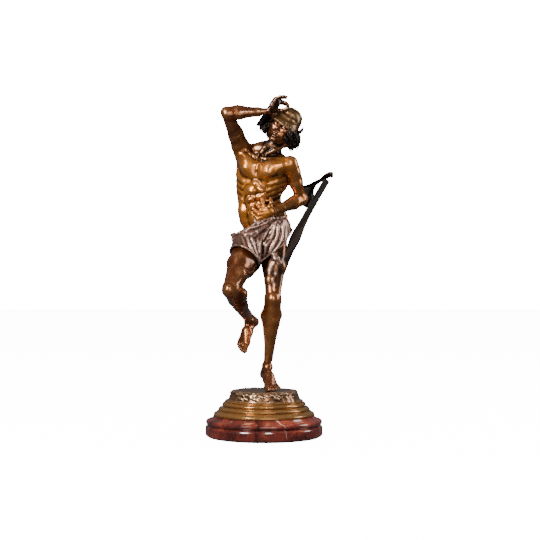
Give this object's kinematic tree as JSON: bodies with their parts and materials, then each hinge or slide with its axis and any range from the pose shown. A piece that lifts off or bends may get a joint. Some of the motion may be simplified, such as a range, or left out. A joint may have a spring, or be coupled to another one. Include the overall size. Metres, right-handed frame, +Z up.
{
  "type": "bronze statuette",
  "caption": "Bronze statuette of a dancing youth on tiptoe, one arm curved over a tipped hat, a small mandolin at the elbow, on a stepped bronze and red marble base.",
  "frame": {"origin": "centre of the underside of the felt pad, where the round base rests on the table", "axes": "+Z up; the figure's front faces -Y; +X is to the right of a viewer who faces it"},
  "size_m": [0.182, 0.164, 0.4736],
  "materials": {
    "felt": "dark green wool felt",
    "marble": null,
    "socle_bronze": "polished golden olive-brown bronze",
    "ground_bronze": "chased golden-brown bronze, darker in the hollows",
    "steel": "plain turned steel",
    "brass": "plain turned brass",
    "skin_bronze": "smooth waxed brown bronze patina, amber where it is rubbed",
    "cloth_bronze": "brown bronze patina with a mauve cast on chased cloth",
    "hat_bronze": "olive-brown bronze patina",
    "dark_bronze": "near-black brown bronze patina"
  },
  "bodies": {
    "root": {"felt_pad": "felt", "marble_plinth": "marble", "marble_ring": "marble", "bronze_socle": "socle_bronze", "ground": "ground_bronze", "tie_rod": "steel", "tie_rod_washers": "steel", "tie_rod_nuts": "brass", "foot_stud": "steel", "foot_washer": "steel", "foot_nut": "brass", "left_leg": "skin_bronze", "right_leg": "skin_bronze", "torso": "skin_bronze", "breeches": "cloth_bronze", "sash": "cloth_bronze", "sash_knot": "cloth_bronze", "left_arm": "skin_bronze", "left_hand": "skin_bronze", "right_arm": "skin_bronze", "right_hand": "skin_bronze", "head": "skin_bronze", "hair": "dark_bronze", "hat": "hat_bronze", "hat_plume": "dark_bronze", "neck_dowel": "brass", "shoulder_dowels": "brass", "wrist_dowels": "brass", "thigh_dowels": "brass", "waist_dowel": "brass", "mandolin_bowl": "dark_bronze", "mandolin_soundboard": "dark_bronze", "mandolin_neck": "dark_bronze", "mandolin_fingerboard": "dark_bronze", "mandolin_pegbox": "dark_bronze", "mandolin_pegs": "dark_bronze", "mandolin_bridge": "dark_bronze", "mandolin_strings": "dark_bronze", "strap": "dark_bronze", "strap_rivet": "dark_bronze"}
  },
  "joints": []
}
